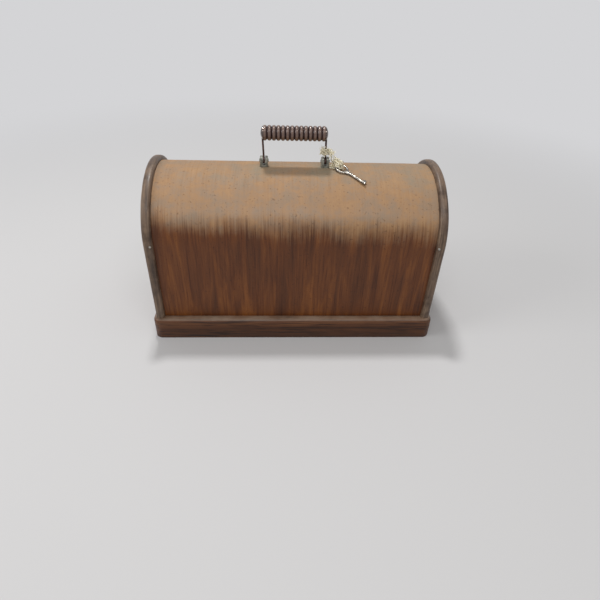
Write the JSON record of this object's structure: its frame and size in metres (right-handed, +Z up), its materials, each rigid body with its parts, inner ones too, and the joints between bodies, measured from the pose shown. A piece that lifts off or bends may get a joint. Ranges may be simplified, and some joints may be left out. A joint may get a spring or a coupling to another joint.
{
  "type": "sewing machine cover box",
  "caption": "Domed bentwood cover for a hand sewing machine, open below, with a folding bail handle, an end lock with a turning hook, and its key on a string.",
  "frame": {"origin": "centre of the bottom frame's bottom face", "axes": "+X along the length towards the lock, +Y to the back, +Z up"},
  "size_m": [0.44, 0.217, 0.3014],
  "materials": {
    "shell_veneer": "worn varnish",
    "panel_veneer": "worn varnish",
    "rim_wood": "worn varnish",
    "rail_wood": "worn varnish",
    "bare_wood": "bare",
    "grip_wood": "satin",
    "lug_iron": "dull",
    "rod_steel": "browned",
    "washer_steel": "worn",
    "lock_steel": "dull",
    "lock_brass": "tarnished",
    "key_steel": "worn",
    "cotton": "frayed"
  },
  "bodies": {
    "root": {"shell": "shell_veneer", "left_end_panel": "panel_veneer", "right_end_panel": "panel_veneer", "left_rim": "rim_wood", "right_rim": "rim_wood", "front_rail": "rail_wood", "back_rail": "rail_wood", "left_rail": "rail_wood", "right_rail": "rail_wood", "front_left_block": "bare_wood", "front_right_block": "bare_wood", "back_left_block": "bare_wood", "back_right_block": "bare_wood", "left_lug": "lug_iron", "right_lug": "lug_iron", "left_lug_pin": "washer_steel", "right_lug_pin": "washer_steel", "rim_pins": "washer_steel", "lock_plate": "lock_steel", "lock_case": "lock_steel", "catch_plate": "lock_steel", "left_backing_plate": "lock_steel", "right_backing_plate": "lock_steel", "left_nut": "lock_steel", "right_nut": "lock_steel", "lock_screws": "lock_steel", "catch_screws": "lock_steel", "keyhole_plate": "lock_brass", "keyhole_plate_pins": "lock_brass", "key": "key_steel", "key_string": "cotton"},
    "bail": {"bail_rod": "rod_steel", "left_grip_cap": "washer_steel", "right_grip_cap": "washer_steel", "string_tie": "cotton"},
    "grip": {"grip": "grip_wood"},
    "lock": {"lock_hub": "lock_brass", "lock_hook": "lock_steel"}
  },
  "joints": [
    {"name": "bail_swing", "type": "hinge", "parent": "root", "child": "bail", "pos_m": [-0.0021, 0, 0.25088], "axis": [1, 0, 0], "range_deg": [-95, 95]},
    {"name": "grip_spin", "type": "hinge", "parent": "bail", "child": "grip", "pos_m": [-0.0033, 0, 0.29078], "axis": [1, 0, 0], "continuous": true},
    {"name": "lock_turn", "type": "hinge", "parent": "root", "child": "lock", "pos_m": [0.1945, 0, 0.014], "axis": [-1, 0, 0], "range_deg": [0, 100]}
  ]
}
